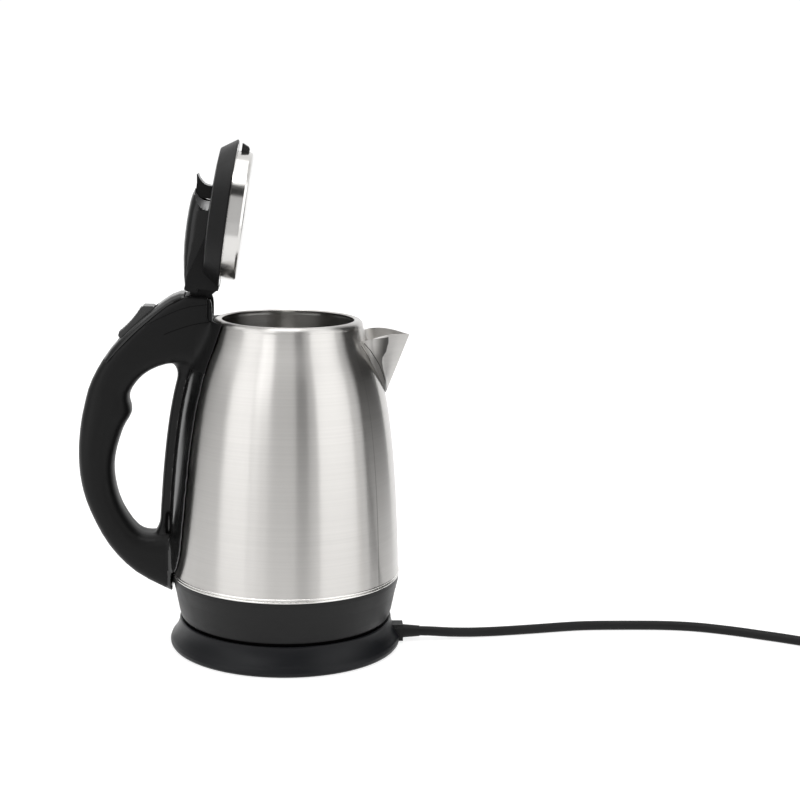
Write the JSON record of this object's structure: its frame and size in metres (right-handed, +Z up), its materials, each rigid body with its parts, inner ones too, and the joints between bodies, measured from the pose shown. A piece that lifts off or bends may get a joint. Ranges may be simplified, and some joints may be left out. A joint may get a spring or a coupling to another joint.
{
  "type": "electric kettle",
  "caption": "Cordless jug kettle of brushed steel on a round power base, with a loop handle, sprung hinged lid, rocker switch and folded spout; its mains lead runs to a coil and plug.",
  "frame": {"origin": "centre of the power base where its feet rest on the table", "axes": "+X from the handle towards the spout, +Z up, +Y to the left of someone looking along +X"},
  "size_m": [0.5836, 0.1904, 0.3316],
  "materials": {
    "base_satin": "satin",
    "housing_satin": "satin",
    "handle_satin": "satin",
    "gloss_black": "gloss",
    "inner_plastic": "matt",
    "ivory_plastic": "matt",
    "rocker_plastic": "satin",
    "steel": "brushed, fine rings round the body",
    "bright_steel": "bright",
    "screw_steel": "bright zinc",
    "spring_steel": "bright wire",
    "element_alloy": "cast",
    "contact_brass": "bright",
    "lead_rubber": "satin",
    "foot_rubber": "matt",
    "wire": "satin"
  },
  "bodies": {
    "power_base": {"base_cover": "base_satin", "base_plate": "base_satin", "base_feet": "foot_rubber", "base_screws": "screw_steel", "base_socket": "inner_plastic", "socket_contacts": "contact_brass", "base_leads": "wire", "lead_clamp": "inner_plastic", "strain_relief": "lead_rubber", "cord": "lead_rubber", "cord_coil": "lead_rubber", "cord_tail": "lead_rubber", "cord_tie": "inner_plastic", "plug_body": "lead_rubber", "plug_pins": "contact_brass"},
    "turn_ring": {"shutter_ring": "inner_plastic"},
    "kettle": {"vessel": "steel", "seam_ring": "bright_steel", "spout": "steel", "spout_filter": "steel", "heater_plate": "bright_steel", "heating_element": "element_alloy", "control_unit": "ivory_plastic", "control_discs": "spring_steel", "kettle_connector": "inner_plastic", "connector_pins": "contact_brass", "bottom_housing": "housing_satin", "bottom_cover": "housing_satin", "bottom_screws": "screw_steel", "handle_saddle": "gloss_black", "handle_shell": "handle_satin", "handle_trim": "gloss_black", "handle_screw": "screw_steel", "hinge_block": "handle_satin", "hinge_pin": "screw_steel", "lid_spring": "spring_steel", "steam_switch": "ivory_plastic", "steam_tube": "inner_plastic", "handle_leads": "wire"},
    "switch": {"switch_rocker": "rocker_plastic"},
    "lid": {"lid_cover": "handle_satin", "lid_hump": "gloss_black", "lid_pan": "bright_steel", "lid_screws": "screw_steel", "latch_carrier": "inner_plastic", "latch_spring": "spring_steel"},
    "latch": {"latch_slide": "inner_plastic", "lid_button": "handle_satin"}
  },
  "joints": [
    {"name": "swivel", "type": "hinge", "parent": "power_base", "child": "turn_ring", "pos_m": [0, 0, 0.02], "axis": [0, 0, 1], "continuous": true},
    {"name": "lift_off", "type": "slide", "parent": "turn_ring", "child": "kettle", "axis": [0, 0, 1], "range_m": [0, 0.06]},
    {"name": "power_switch", "type": "hinge", "parent": "kettle", "child": "switch", "pos_m": [-0.0936, 0, 0.2089], "axis": [0, 1, 0], "range_deg": [0, 10]},
    {"name": "lid_hinge", "type": "hinge", "parent": "kettle", "child": "lid", "pos_m": [-0.0565, 0, 0.2294], "axis": [0, 1, 0], "range_deg": [0, 82.3], "stiffness_Nm_per_rad": 0.08, "springref_deg": -28.65, "deforming": ["lid_spring"]},
    {"name": "latch_release", "type": "slide", "parent": "lid", "child": "latch", "axis": [-0.134, 0, -0.991], "range_m": [0, 0.004], "stiffness_N_per_m": 150, "springref_m": -0.003, "deforming": ["latch_spring"]}
  ]
}
